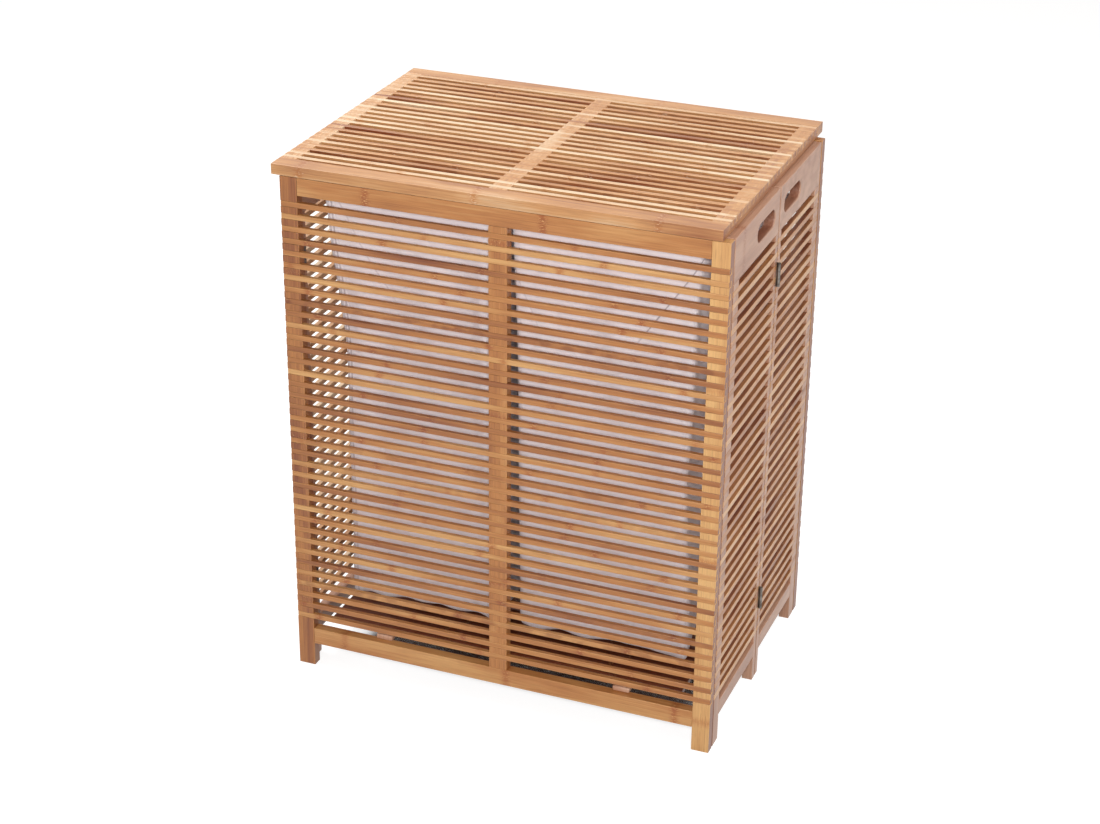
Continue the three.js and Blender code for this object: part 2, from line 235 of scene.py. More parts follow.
def cane_nodes(tree, grain, wood, warm_tint, fleck_tint):
    distance, number = from_nearest(tree, parts_of(tree, grain)[0], node_spacing)
    dice = add_node(tree, "ShaderNodeTexWhiteNoise", [("W", number)], noise_dimensions="1D")
    strength = remap(tree, dice.outputs["Value"], 0.1, 0.7, *node_strengths)
    fray = product(tree, noise(tree, grain, fray_stretch), node_fray)
    ragged = maths(tree, "ADD", distance, fray)
    patch = remap(tree, ragged, node_core, node_core + node_reach, 1.0, 0.0, smooth=True)
    patch = product(tree, patch, strength)
    warmed = blended(tree, patch, wood, darkened(tree, wood, warm_tint))
    pale_noise = noise(tree, grain, pale_fleck_stretch, 1.0)
    flecks = remap(tree, pale_noise, 0.57, 0.66, 0.0, pale_fleck_share)
    return blended(tree, product(tree, flecks, patch), warmed, fleck_tint)


# %% [markdown]
# Posts, stiles and rails are laminated, and the glue between their strips shows as thin lines a few
# millimetres apart. Noise along the grain breaks them into dashes.

# %% Glue lines and the whole finish
glue_line_pitch = 0.0054
glue_line_half, glue_line_end = 0.00012, 0.00042
glue_tint = (0.66, 0.56, 0.5, 1.0)
dash_stretch = (60, 70, 70)
fibre_depth = 0.00025


def glue_lines(tree, grain, wood):
    distance, _ = from_nearest(tree, parts_of(tree, grain)[1], glue_line_pitch)
    line = remap(tree, distance, glue_line_half, glue_line_end, 1.0, 0.0)
    dashes = remap(tree, noise(tree, grain, dash_stretch), 0.44, 0.6, 0.0, 0.8)
    return blended(tree, product(tree, line, dashes), wood, darkened(tree, wood, glue_tint))


def bamboo_finish(name, dark, middle, pale, warm_tint):
    material, tree, shader = new_finish(name)
    grain = attribute(tree, "grain", "Vector")
    fibre = noise(tree, grain, fibre_stretch, 4.0, 0.6)
    patch = noise(tree, grain, patch_stretch, 3.0)
    wood = stripped_cane(tree, grain, patch, fibre, dark, middle, pale)
    lined = glue_lines(tree, grain, wood)
    banded = cane_nodes(tree, grain, lined, warm_tint, pale)
    # Eased edges turn paler, partly as wear and partly as a painted highlight.
    wear_and_highlight = product(tree, attribute(tree, "edge"), remap(tree, patch, 0.35, 0.65, 0.05, 0.32))
    shown(tree, shader, Base_Color=blended(tree, wear_and_highlight, banded, pale),
          Roughness=remap(tree, fibre, 0.25, 0.75, 0.36, 0.52),
          Normal=bumped(tree, fibre, fibre_depth, 0.35), Coat_Weight=0.18, Coat_Roughness=0.28)
    print("finish", name, "has", len(tree.nodes), "nodes")
    return material


# %% [markdown]
# Four finishes come from one recipe: caramel for the panels and the floor, a cooler rosy tan for
# the boards and stiles of the side leaves, a lighter tan for the slats in the right leaves, and
# cream for the lid and, as painted light, for the paler slats in the left leaves.

# %% Four bamboo finishes
caramel_bamboo = bamboo_finish("caramel_bamboo", colour(118, 58, 28), colour(180, 119, 65),
                               colour(220, 172, 112), warm_tint=(0.7, 0.46, 0.32, 1))
rosy_bamboo = bamboo_finish("rosy_bamboo", colour(122, 74, 54), colour(180, 132, 104),
                            colour(206, 166, 140), warm_tint=(0.8, 0.62, 0.5, 1))
tan_bamboo = bamboo_finish("tan_bamboo", colour(112, 56, 32), colour(182, 124, 76),
                           colour(224, 180, 134), warm_tint=(0.8, 0.6, 0.46, 1))
cream_bamboo = bamboo_finish("cream_bamboo", colour(130, 64, 30), colour(198, 144, 92),
                             colour(230, 204, 170), warm_tint=(0.84, 0.66, 0.48, 1))

# %% [markdown]
# Every stick of this hamper is a square bar with its edges eased by sandpaper. Each is made from a
# cube, or from a flat outline that is extruded, and then bevelled, so that its edges catch the
# light. Then its points are given their grain, shifted by a distance of its own, so that no two
# sticks repeat one pattern, and their tone. Faces in the dark get a painted shade: a share of the
# tone is taken off.

# %% Helpers for sticks
X, Y, Z = range(3)
strip_dice = random.Random(11)
shift_reach = 2.0
stick_ease = 0.0005
least_edge_angle = math.radians(40)
same_way = 0.9


def blank():
    """An empty bmesh with the layers that the bamboo finish reads."""
    bm = bmesh.new()
    bm.verts.layers.float_vector.new("grain")
    bm.verts.layers.float.new("tone")
    for name in ("edge", "side"):
        bm.faces.layers.float.new(name)
    return bm


def give_grain(bm, along, tone):
    """Grain and tone for every point that hasn't got them, where along is the fibres' axis."""
    across, inward = [axis for axis in (X, Y, Z) if axis != along]
    shift = Vector([strip_dice.uniform(-shift_reach, shift_reach) for _ in range(3)])
    grain = bm.verts.layers.float_vector["grain"]
    tones = bm.verts.layers.float["tone"]
    for vert in bm.verts:
        if vert[tones] == 0:
            vert[grain] = Vector((vert.co[along], vert.co[across], vert.co[inward])) + shift
            vert[tones] = tone


def ease(bm, edges, width=stick_ease, segments=2):
    """Rounds edges over, and marks the new faces for wear and a painted highlight."""
    made = bmesh.ops.bevel(
        bm, geom=list(edges), offset=width, offset_type="OFFSET", segments=segments,
        profile=0.5, affect="EDGES", clamp_overlap=True, material=-1,
    )
    wear_and_highlight = bm.faces.layers.float["edge"]
    for face in made["faces"]:
        face[wear_and_highlight] = 1.0
        face.smooth = True


def sharp_edges(bm):
    """The edges that stick out, such as a hand would feel."""
    return [edge for edge in bm.edges if len(edge.link_faces) == 2 and edge.is_convex
            and edge.calc_face_angle() > least_edge_angle]


def paint_shade_on_faces(bm, axis, sign, share):
    """Paints shade: takes a share of the tone off the faces that look along an axis."""
    bm.normal_update()
    side = bm.faces.layers.float["side"]
    for face in bm.faces:
        if face.normal[axis] * sign > same_way:
            face[side] = share


def stick(bm, low, high, along, tone, width=stick_ease):
    """A bar between two corners."""
    corners = bmesh.ops.create_cube(bm, size=1)["verts"]
    bmesh.ops.scale(bm, vec=high - low, verts=corners)
    bmesh.ops.translate(bm, vec=(low + high) / 2, verts=corners)
    ease(bm, {edge for vert in corners for edge in vert.link_edges}, width)
    give_grain(bm, along, tone)


# %% [markdown]
# A finished bmesh becomes an object. It rides on a body of the frame, so that it moves with that
# body's joint, and stands for the CAD nodes that it replaces.

# %% Pieces of wood
def placed(name, bm, material):
    """Turns a bmesh into an object of one material."""
    made = bpy.data.objects.new(name, bpy.data.meshes.new(name))
    bm.to_mesh(made.data)
    bm.free()
    made.data.materials.append(material)
    bpy.context.scene.collection.objects.link(made)
    return made


def wooden(name, bm, finish, body, *nodes):
    """A piece of wood that rides on a body and stands for CAD nodes."""
    made = placed(name, bm, finish)
    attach(made, body)
    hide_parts(*nodes)


def single(box, along, tone):
    bm = blank()
    stick(bm, *box, along, tone)
    return bm


# %% [markdown]
# Slats of 6 by 5.5 mm are let into notches in the posts and stiles and end flush with their faces.
# A notched stile looks like a comb from the side. It could be cut with booleans, but a comb is
# only a grid of two columns with some cells left out: the grid is made, its rows are moved to the
# notches, the cells of the notches are deleted, and the rest is extruded to the stile's width.

# %% Notched stiles
slat_size, slat_depth = 0.006, 0.0055
slat_pitch = 0.014
slat_least_end_gap = 0.003
notch_gap = 0.0002
inner_ease = 0.6 * stick_ease
flat_angle = math.radians(1)


def slat_spans(top, first, bottom):
    """Where each slat starts and ends below a top, the first by its gap, as the CAD counts them."""
    room = top - bottom - first - slat_size - slat_least_end_gap
    count = math.floor(room / slat_pitch + 1e-6) + 1
    ends = [top - (first + i * slat_pitch) for i in range(count)]
    return [(end - slat_size, end) for end in ends]


def only(kind, items):
    return [item for item in items if isinstance(item, kind)]


def thicken(bm, push):
    """Extrudes a flat outline to a solid."""
    grown = bmesh.ops.extrude_face_region(bm, geom=bm.faces[:], use_keep_orig=True)["geom"]
    bmesh.ops.translate(bm, vec=push, verts=only(bmesh.types.BMVert, grown))


def comb(low, high, notches, run, outside, tone):
    """A stile between two corners that runs along an axis, with notches (low, high) along it.
    Outside is the axis that its slats face and the sign of that side."""
    face, sign = outside
    width = next(axis for axis in (X, Y, Z) if axis not in (run, face))
    rows = [low[run], *sorted(at for pair in notches for at in pair), high[run]]
    outer, inner = (high[face], low[face]) if sign > 0 else (low[face], high[face])
    columns = [inner, outer - sign * (slat_depth + notch_gap), outer]
    bm = blank()
    last = len(rows) - 1
    bmesh.ops.create_grid(bm, x_segments=2, y_segments=last, size=1)
    for vert in bm.verts:
        place = low.copy()
        place[face] = columns[round(vert.co.x + 1)]
        place[run] = rows[round((vert.co.y + 1) / 2 * last)]
        vert.co = place
    outer_layer = (columns[1] + columns[2]) / 2
    notched = [
        f for f in bm.faces
        if abs(f.calc_center_median()[face] - outer_layer) < slat_depth / 4
        and any(a < f.calc_center_median()[run] < b for a, b in notches)
    ]
    bmesh.ops.delete(bm, geom=notched, context="FACES")
    push = Vector((0, 0, 0))
    push[width] = high[width] - low[width]
    thicken(bm, push)
    bmesh.ops.recalc_face_normals(bm, faces=bm.faces[:])
    bmesh.ops.dissolve_limit(bm, angle_limit=flat_angle, verts=bm.verts[:], edges=bm.edges[:])
    ease(bm, sharp_edges(bm), inner_ease, 1)
    give_grain(bm, run, tone)
    return bm


# %% [markdown]
# Slats are cut from many canes, so each gets a tone by a throw of the dice. A row of them is one
# piece, since they never move apart. As painted shade, a slat can keep only a share of its tone on
# its other long faces.

# %% Slats in a row
slat_tones = (0.34, 0.42, 0.48, 0.53, 0.57, 0.64)
tone_spread = 0.05


def cut_down(box, axis, start, end):
    """A box's two corners, with another start and end along one axis."""
    low, high = (corner.copy() for corner in box)
    low[axis], high[axis] = start, end
    return low, high


def slats(spans, low, high, run, outside, along, tones=slat_tones, shaded_side_share=1.0):
    """Slats at spans along the run, flush with the outer face, between two corners."""
    face, sign = outside
    start = high[face] - slat_depth if sign > 0 else low[face]
    end = high[face] if sign > 0 else low[face] + slat_depth
    layer = cut_down((low, high), face, start, end)
    bm = blank()
    for span in spans:
        tone = strip_dice.choice(tones) + strip_dice.uniform(-tone_spread, tone_spread)
        stick(bm, *cut_down(layer, run, *span), along, tone)
    bm.normal_update()
    edge, side = bm.faces.layers.float["edge"], bm.faces.layers.float["side"]
    # Painted shade: the slats' sides and inner faces keep only a share of their tone.
    for flat in bm.faces:
        if not flat[edge] and abs(flat.normal[along]) < 0.5 and flat.normal[face] * sign < 0.5:
            flat[side] = 1 - shaded_side_share
    return bm


def widened(spans):
    return [(a - notch_gap, b + notch_gap) for a, b in spans]


def middle_of(box, axis):
    return (box[0][axis] + box[1][axis]) / 2


def strip_at(box, axis, middle, half):
    """A box cut down to a strip about a middle."""
    return cut_down(box, axis, middle - half, middle + half)


# %% [markdown]
# The front and back panels are two notched posts, a rail above and below, a notched centre stile
# and 37 slats. The posts and rails get the tones that the photograph shows. The right ends of the
# slats and the outer sides of the posts get a painted shade, nearly as dark as the gap that they
# look into.

# %% Front and back panels
panel_slat_top_gap = 0.008
centre_stile_half = 0.0105
post_end_painted_shade = 0.85
panel_tones = {
    "front_left_post": 0.24, "front_right_post": 0.86, "front_centre": 0.52,
    "front_top_rail": 0.52, "front_bottom_rail": 0.62,
    "back_left_post": 0.45, "back_right_post": 0.4, "back_centre": 0.5,
    "back_top_rail": 0.55, "back_bottom_rail": 0.48,
}


def panel(end, sign):
    body = end + "_panel"
    outside = (Y, sign)
    top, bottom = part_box(end + "_top_rail")[0].z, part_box(end + "_bottom_rail")[1].z
    spans = slat_spans(top, panel_slat_top_gap, bottom)
    for post, x_sign in ((end + "_left_post", -1), (end + "_right_post", 1)):
        bm = comb(*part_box(post), widened(spans), Z, outside, panel_tones[post])
        paint_shade_on_faces(bm, X, x_sign, post_end_painted_shade)
        wooden(post + "_notched", bm, caramel_bamboo, body, post)
    rack = end + "_slat_rack"
    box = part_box(rack)
    stile = strip_at(box, X, middle_of(box, X), centre_stile_half)
    bm = comb(*stile, widened(spans), Z, outside, panel_tones[end + "_centre"])
    wooden(end + "_centre_stile", bm, caramel_bamboo, body, rack)
    bm = slats(spans, *box, Z, outside, X)
    paint_shade_on_faces(bm, X, 1, post_end_painted_shade)
    wooden(end + "_slats", bm, caramel_bamboo, body, rack)
    for rail in (end + "_top_rail", end + "_bottom_rail"):
        bm = single(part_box(rail), X, panel_tones[rail])
        wooden(rail + "_stick", bm, caramel_bamboo, body, rail)
    return len(spans)


print("slats in a panel:", panel("front", -1), panel("back", 1))

# %% [markdown]
# Each side is two leaves that fold inwards, each with a board on top that has a slot for the
# fingers. The slot's ends are round: two rows of edges, the board's outline and a circle pulled
# apart to a stadium, are filled to a plate with a hole by triangle_fill, and the plate is extruded.
# The slot's rim is eased more than the edges, because a router rounds it for the fingers, and its
# walls get a painted shade that makes them dark, as in the photograph.

# %% Boards with a finger slot
slot_length, slot_height = 0.062, 0.020
slot_drop = 0.016
slot_from_middle = 0.048
slot_ease = 0.0014
slot_segments = 40
slot_wall_shaded_share = 0.08
hamper_middle_y = (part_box("front_top_rail")[0].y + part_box("back_top_rail")[1].y) / 2


def is_near_slot(edge, slot_y, slot_z):
    middle = (edge.verts[0].co + edge.verts[1].co) / 2
    reach = Vector((abs(middle.y - slot_y), abs(middle.z - slot_z)))
    return reach.x < slot_length / 2 + slot_ease and reach.y < slot_height / 2 + slot_ease


def slotted_board(low, high, slot_y, tone):
    """A board in the y and z plane with a slot through it."""
    bm = blank()
    sheet = bmesh.ops.create_grid(bm, x_segments=1, y_segments=1, size=0.5)["verts"]
    size = high - low
    bmesh.ops.scale(bm, vec=(size.y, size.z, 1), verts=sheet)
    bmesh.ops.translate(bm, vec=((low.y + high.y) / 2, (low.z + high.z) / 2, 0), verts=sheet)
    bmesh.ops.delete(bm, geom=bm.faces[:], context="FACES_ONLY")
    radius = slot_height / 2
    straight = slot_length / 2 - radius
    slot_z = high.z - slot_drop - radius
    hole = bmesh.ops.create_circle(bm, segments=slot_segments, radius=radius)["verts"]
    for vert in hole:
        if abs(vert.co.x) > 1e-6:
            vert.co.x += math.copysign(straight, vert.co.x)
    bmesh.ops.translate(bm, vec=(slot_y, slot_z, 0), verts=hole)
    bmesh.ops.triangle_fill(bm, edges=bm.edges[:], use_beauty=True)
    thicken(bm, (0, 0, size.x))
    upright = Matrix(((0, 0, 1, low.x), (1, 0, 0, 0), (0, 1, 0, 0), (0, 0, 0, 1)))
    bmesh.ops.transform(bm, matrix=upright, verts=bm.verts[:])
    bmesh.ops.recalc_face_normals(bm, faces=bm.faces[:])
    ease(bm, [e for e in sharp_edges(bm) if is_near_slot(e, slot_y, slot_z)], slot_ease, 3)
    ease(bm, [e for e in sharp_edges(bm) if not is_near_slot(e, slot_y, slot_z)])
    give_grain(bm, Y, tone)
    # Painted shade: the points on the slot's walls keep only a small share of their tone.
    tones = bm.verts.layers.float["tone"]
    for vert in bm.verts:
        aside = Vector((max(abs(vert.co.y - slot_y) - straight, 0), vert.co.z - slot_z))
        if aside.length < radius + slot_ease / 4:
            vert[tones] *= slot_wall_shaded_share
    return bm


# %% [markdown]
# Under its board a leaf has a notched stile at each end, 35 slats and a low rail. Its corner stile
# gets a full painted shade on the side that faces the panel's post, where only a thin dark line is
# seen.

# %% Side leaves
leaf_slat_top_gap = 0.008
mid_stile_width = 0.009
leaf_rail_low, leaf_rail_high = 0.031, 0.049
leaf_tones = {"right_front": 0.5, "right_rear": 0.56, "left_front": 0.44, "left_rear": 0.38}
leaf_slat_tones = (0.44, 0.54, 0.6, 0.66, 0.72, 0.8)
leaf_shaded_side_share = {"right": 0.3, "left": 1.0}
rack_paler, board_paler = 0.04, 0.05


def leaf(side, end, x_sign, y_sign):
    name = side + "_" + end + "_leaf"
    rack = name + "_rack"
    outside = (X, x_sign)
    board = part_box(name + "_board")
    spans = slat_spans(board[0].z, leaf_slat_top_gap, leaf_rail_high)
    tone = leaf_tones[side + "_" + end]
    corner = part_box(name + "_stile")
    bm = comb(*corner, widened(spans), Z, outside, tone)
    # Painted shade: the face towards the panel's post loses all its tone.
    paint_shade_on_faces(bm, Y, y_sign, 1.0)
    wooden(name + "_notched_stile", bm, rosy_bamboo, name, name + "_stile")

    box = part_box(rack)
    low, high = box
    if y_sign > 0:
        stile = cut_down(box, Y, low.y, low.y + mid_stile_width)
        rail = cut_down(box, Y, stile[1].y, corner[0].y - notch_gap)
    else:
        stile = cut_down(box, Y, high.y - mid_stile_width, high.y)
        rail = cut_down(box, Y, corner[1].y + notch_gap, stile[0].y)
    bm = comb(*stile, widened(spans), Z, outside, tone + rack_paler)
    wooden(name + "_mid_stile", bm, rosy_bamboo, name, rack)
    bm = single(cut_down(rail, Z, leaf_rail_low, leaf_rail_high), Y, tone + rack_paler)
    wooden(name + "_low_rail", bm, rosy_bamboo, name, rack)
    # The right leaves' slats keep only a share of their tone on their sides, a painted shade; the
    # left leaves' slats keep all of it and take the paler cream finish, a painted light.
    bm = slats(spans, low, high, Z, outside, Y, leaf_slat_tones, leaf_shaded_side_share[side])
    wooden(name + "_slats", bm, tan_bamboo if side == "right" else cream_bamboo, name, rack)
    slot_y = hamper_middle_y + y_sign * slot_from_middle
    bm = slotted_board(*board, slot_y, tone + board_paler)
    wooden(name + "_slotted_board", bm, rosy_bamboo, name, name + "_board")
    return len(spans)


for side, x_sign in (("right", 1), ("left", -1)):
    for end, y_sign in (("rear", 1), ("front", -1)):
        print(side, end, "leaf has", leaf(side, end, x_sign, y_sign), "slats")

# %% [markdown]
# The lid is the same work laid flat: a frame with a centre stile, and 23 slats let into it from
# above. The photograph shows it paler than the body. Its slats are cream on top and get a painted
# shade down their sides, which turns them reddish brown there. The outer sides of its stiles and
# the right ends of its slats and rails get a painted shade too. Its two rails run over the whole
# width, and the stiles end against them.

# %% Lid
lid_slat_back_gap = 0.0015
lid_centre_half = 0.010
lid_slat_tones = (0.36, 0.5, 0.6, 0.72, 0.84)
lid_shaded_side_share = 0.5
lid_end_painted_shade = 0.45
lid_stile_tones = {"left": 0.52, "centre": 0.59, "right": 0.45}
lid_rail_tones = {"lid_front_rail": 0.42, "lid_back_rail": 0.46}

lid_stiles = ("lid_left_stile", "lid_right_stile")
lid_left, lid_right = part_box(lid_stiles[0])[0].x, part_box(lid_stiles[1])[1].x
front_edge, back_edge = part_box("lid_front_rail")[1].y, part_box("lid_back_rail")[0].y
spans = slat_spans(back_edge, lid_slat_back_gap, front_edge)
notches = widened(spans)
lid_up = (Z, 1)


def between_rails(box):
    return cut_down(box, Y, front_edge + notch_gap, back_edge - notch_gap)


for node, side, sign in zip(lid_stiles, ("left", "right"), (-1, 1)):
    bm = comb(*between_rails(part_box(node)), notches, Y, lid_up, lid_stile_tones[side])
    paint_shade_on_faces(bm, X, sign, lid_end_painted_shade)
    wooden(node + "_notched", bm, cream_bamboo, "lid", node)
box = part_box("lid_slat_rack")
stile = between_rails(strip_at(box, X, middle_of(box, X), lid_centre_half))
bm = comb(*stile, notches, Y, lid_up, lid_stile_tones["centre"])
wooden("lid_centre_stile", bm, cream_bamboo, "lid", "lid_slat_rack")
bm = slats(spans, *box, Y, lid_up, X, lid_slat_tones, lid_shaded_side_share)
paint_shade_on_faces(bm, X, 1, lid_end_painted_shade)
wooden("lid_slats", bm, cream_bamboo, "lid", "lid_slat_rack")
for node, tone in lid_rail_tones.items():
    bm = single(cut_down(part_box(node), X, lid_left, lid_right), X, tone)
    paint_shade_on_faces(bm, X, 1, lid_end_painted_shade)
    wooden(node + "_stick", bm, cream_bamboo, "lid", node, *lid_stiles)
print("lid slats", len(spans))

# %% [markdown]
# The floor board lies loose on the bottom rails: wide slats nailed across two battens. The ends of
# the battens show over the front rail. No lamp reaches the slats under the bags, and their tones
# are set below nought as a painted shade, so they are darker than any other wood here.

# %% Floor board
floor_slat_width, floor_slat_height = 0.012, 0.006
floor_slat_pitch = 0.020
floor_slat_shaded_tones = (-0.25, -0.1)
floor_end_gap = 0.003
batten_width, batten_ease = 0.020, 0.0015
batten_from_middle = 0.144
batten_tone = 0.7

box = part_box("floor_board")
slat_bottom = box[1].z - floor_slat_height
slat_layer = cut_down(box, Z, slat_bottom, box[1].z)
batten_layer = cut_down(box, Z, box[0].z, slat_bottom)
slat_run = 2 * (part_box("back_top_rail")[0].y - hamper_middle_y - floor_end_gap)
count = math.floor((slat_run - floor_slat_width) / floor_slat_pitch + 1e-6) + 1
bm = blank()
for i in range(count):
    y = middle_of(box, Y) + (i - (count - 1) / 2) * floor_slat_pitch
    tone = strip_dice.uniform(*floor_slat_shaded_tones)
    stick(bm, *strip_at(slat_layer, Y, y, floor_slat_width / 2), X, tone)
wooden("floor_slats", bm, caramel_bamboo, "floor_board", "floor_board")
bm = blank()
for sign in (-1, 1):
    x = middle_of(box, X) + sign * batten_from_middle
    stick(bm, *strip_at(batten_layer, X, x, batten_width / 2), Y, batten_tone, batten_ease)
wooden("floor_battens", bm, rosy_bamboo, "floor_board", "floor_board")
print("floor slats", count)

# %% [markdown]
# The hinges are stamped from thin plated steel. Their shape comes from CAD and stays, so here they
# only get a finish: metal with a fine brushed grain and dull spots where the plating has aged. It
# reads object coordinates, which are metres in the hamper's own space.

# %% Hinge metal
bright_steel, dull_steel = colour(128, 122, 116), colour(84, 78, 72)
brush_stretch = (900, 900, 90)
spot_stretch = (160, 160, 160)
brush_depth = 0.00005


def object_place(tree):
    return add_node(tree, "ShaderNodeTexCoord").outputs["Object"]


def refinished(words, material):
    """Gives a finish to the CAD nodes that have some words in their names, and counts them."""
    nodes = [node for name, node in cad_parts.items() if words in name]
    for node in nodes:
        node.data.materials.clear()
        node.data.materials.append(material)
    return len(nodes)


plated_steel, tree, shader = new_finish("plated_steel")
place = object_place(tree)
brushed = noise(tree, place, brush_stretch, 3.0)
spots = noise(tree, place, spot_stretch, 3.0)
steel_colour = blended(tree, remap(tree, spots, 0.4, 0.65), bright_steel, dull_steel)
shown(tree, shader, Base_Color=steel_colour,
      Roughness=remap(tree, maths(tree, "ADD", brushed, spots), 0.6, 1.4, 0.28, 0.55),
      Normal=bumped(tree, brushed, brush_depth, 0.3), Metallic=0.9)
print("hinge halves", refinished("hinge_", plated_steel))

# %% [markdown]
# Strips of hook tape inside the two top rails hold the hems of the bags. They are matt, pale and
# finely ribbed.

# %% Hook tape
hook_stretch = (1400, 1400, 1400)
hook_depth = 0.0006

hook_tape, tree, shader = new_finish("hook_tape")
hooks = noise(tree, object_place(tree), hook_stretch, 1.0)
shown(tree, shader,
      Base_Color=blended(tree, hooks, colour(196, 192, 194), colour(226, 222, 222)),
      Roughness=remap(tree, hooks, 0.2, 0.8, 0.75, 0.95),
      Normal=bumped(tree, hooks, hook_depth, 0.6))
print("hook tapes", refinished("_liner_tape", hook_tape))

# %% [markdown]
# The bags are thin plain-woven cloth. The weave is two sets of threads at right angles, drawn in
# the cloth's own flat coordinates, a UV map named cut whose unit is a metre, so the threads bend
# with every fold. A hem is a double layer, so it ends in a small step with a row of stitches.

# %% Weave and hem
thread_pitch = 0.0007
bag_top_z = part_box("left_liner")[1].z
hem_height = 0.020
hem_step = 0.0006
stitch_length, stitch_share = 0.0035, 0.7
stitch_half, stitch_end = 0.0002, 0.0005
slub_stretch = (60, 900, 1)


def wave(tree, value, pitch):
    return maths(tree, "SINE", product(tree, value, 2 * math.pi / pitch))


def woven(tree, cut):
    """How high the threads stand, from -1 to 1, and how thick each thread is, from 0 to 1."""
    along, up, _ = parts_of(tree, cut)
    height = product(tree, wave(tree, along, thread_pitch), wave(tree, up, thread_pitch))
    return height, noise(tree, cut, slub_stretch)


def hemmed(tree, cut):
    """1 on the double layer of the hem and 0 below it, and 1 on its stitches."""
    along, up, _ = parts_of(tree, cut)
    line = bag_top_z - hem_height
    layer = remap(tree, up, line, line + hem_step)
    aside = maths(tree, "ABSOLUTE", maths(tree, "SUBTRACT", up, line + 4 * hem_step))
    row = remap(tree, aside, stitch_half, stitch_end, 1.0, 0.0)
    dash = maths(tree, "FRACT", maths(tree, "DIVIDE", along, stitch_length))
    return layer, product(tree, row, maths(tree, "LESS_THAN", dash, stitch_share))


# %% [markdown]
# Cloth that was folded in its packet keeps creases. In the photograph a sharp one runs down from
# the right bag's top corner, fainter ones run from the other corners, and the left bag's outer edge
# is turned over and pleated. They are finer than the mesh, so its points carry only their distance
# to each line, in an attribute named marks, and the finish draws the lines from that, as dents and
# as a painted shade along them.

# %% Creases and pleats
crease_half = 0.0004
crease_end_z, crease_full_z = bag_top_z - 0.14, bag_top_z - 0.112
turned_edge = 0.009
pleat_pitch = 0.0046
pleated_width = 0.017
pleat_end_z, pleat_full_z = bag_top_z - 0.32, bag_top_z - 0.18


def crease(tree, distance, end, strength):
    """A line where the distance to it is nought, fading out towards an end."""
    return remap(tree, maths(tree, "ABSOLUTE", distance), crease_half, end, strength, 0.0)


def creased(tree, cut):
    """How strongly each point lies in a crease, and the height of the pleats beside an edge."""
    strong, soft, turned = parts_of(tree, attribute(tree, "marks", "Vector"))
    up = parts_of(tree, cut)[1]
    near_top = remap(tree, up, crease_end_z, crease_full_z)
    sharp, faint = crease(tree, strong, 0.0014, 1.0), crease(tree, soft, 0.0016, 0.4)
    corner = product(tree, maths(tree, "MAXIMUM", sharp, faint), near_top)
    folded = crease(tree, turned, 0.0018, 0.6)
    edge = maths(tree, "ADD", turned, turned_edge)
    beside = remap(tree, edge, 0.6 * pleated_width, pleated_width, 1.0, 0.0)
    high_up = remap(tree, up, pleat_end_z, pleat_full_z, smooth=True)
    pleats = product(tree, wave(tree, edge, pleat_pitch), product(tree, beside, high_up))
    return maths(tree, "MAXIMUM", corner, folded), pleats


# %% [markdown]
# The finish puts these together. Cloth lets some light through, so a share of its light comes from
# a translucent shader, which keeps the far side of a bag from looking black.

# %% Cloth finish
mottle_stretch, rumple_stretch = (14, 14, 14), (42, 42, 30)
crease_painted_shade = (0.6, 0.57, 0.58, 1)
ridge_depth = 0.0012
through_share = 0.08

liner_cloth, tree, shader = new_finish("liner_cloth")
cut = add_node(tree, "ShaderNodeUVMap", uv_map="cut").outputs[0]
place = object_place(tree)
weave, slubs = woven(tree, cut)
layer, stitches = hemmed(tree, cut)
creases, pleats = creased(tree, cut)
mottle = remap(tree, noise(tree, place, mottle_stretch, 3.0), 0.3, 0.7)
tint = blended(tree, mottle, colour(238, 228, 232), colour(248, 240, 243))
tint = blended(tree, remap(tree, slubs, 0.3, 0.7, 0.0, 0.25), tint, colour(226, 214, 220))
# Painted shade: the creases and the turned edge darken the cloth.
tint = blended(tree, creases, tint, darkened(tree, tint, crease_painted_shade))
tint = blended(tree, product(tree, stitches, 0.5), tint, colour(176, 160, 170))
ridges = noise(tree, place, rumple_stretch, 4.0, 0.6)
for part, height in ((weave, 0.1), (layer, 0.3), (pleats, 0.45), (creases, -0.5)):
    ridges = maths(tree, "MULTIPLY_ADD", part, height, ridges)
relief = bumped(tree, ridges, ridge_depth, 0.5)
shown(tree, shader, Base_Color=tint, Normal=relief, Sheen_Weight=0.15,
      Roughness=remap(tree, slubs, 0.2, 0.8, 0.78, 0.95))
values = [("Color", tint), ("Normal", relief)]
glowing = add_node(tree, "ShaderNodeBsdfTranslucent", values).outputs[0]
shares = [(0, through_share), (1, shader.outputs[0]), (2, glowing)]
both = add_node(tree, "ShaderNodeMixShader", shares).outputs[0]
tree.links.new(both, tree.nodes["Material Output"].inputs["Surface"])
print("cloth finish has", len(tree.nodes), "nodes")

# %% [markdown]
# Each bag hangs from its front and back hems only, so its outer side slumps inwards by a few
# centimetres. How far it does at the front is read off the photograph, in pairs of a height, as a
# share of the bag's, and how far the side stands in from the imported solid's. Half way to the back
# hem it stands in further, by the side slump.

# %% How the sides slump
outer_sides = {
    "left": ((0, 0.023), (0.07, 0.026), (0.2, 0.028), (0.38, 0.027), (0.49, 0.0286), (0.59, 0.031),
             (0.67, 0.0294), (0.76, 0.026), (0.84, 0.020), (1, 0.014)),
    "right": ((0, 0.006), (0.06, 0.005), (0.17, 0.005), (0.32, 0.009), (0.45, 0.0115), (0.6, 0.007),
              (0.74, 0.0045), (0.85, 0.004), (1, 0.001)),
}
side_slump = 0.014
end_taper = 0.012


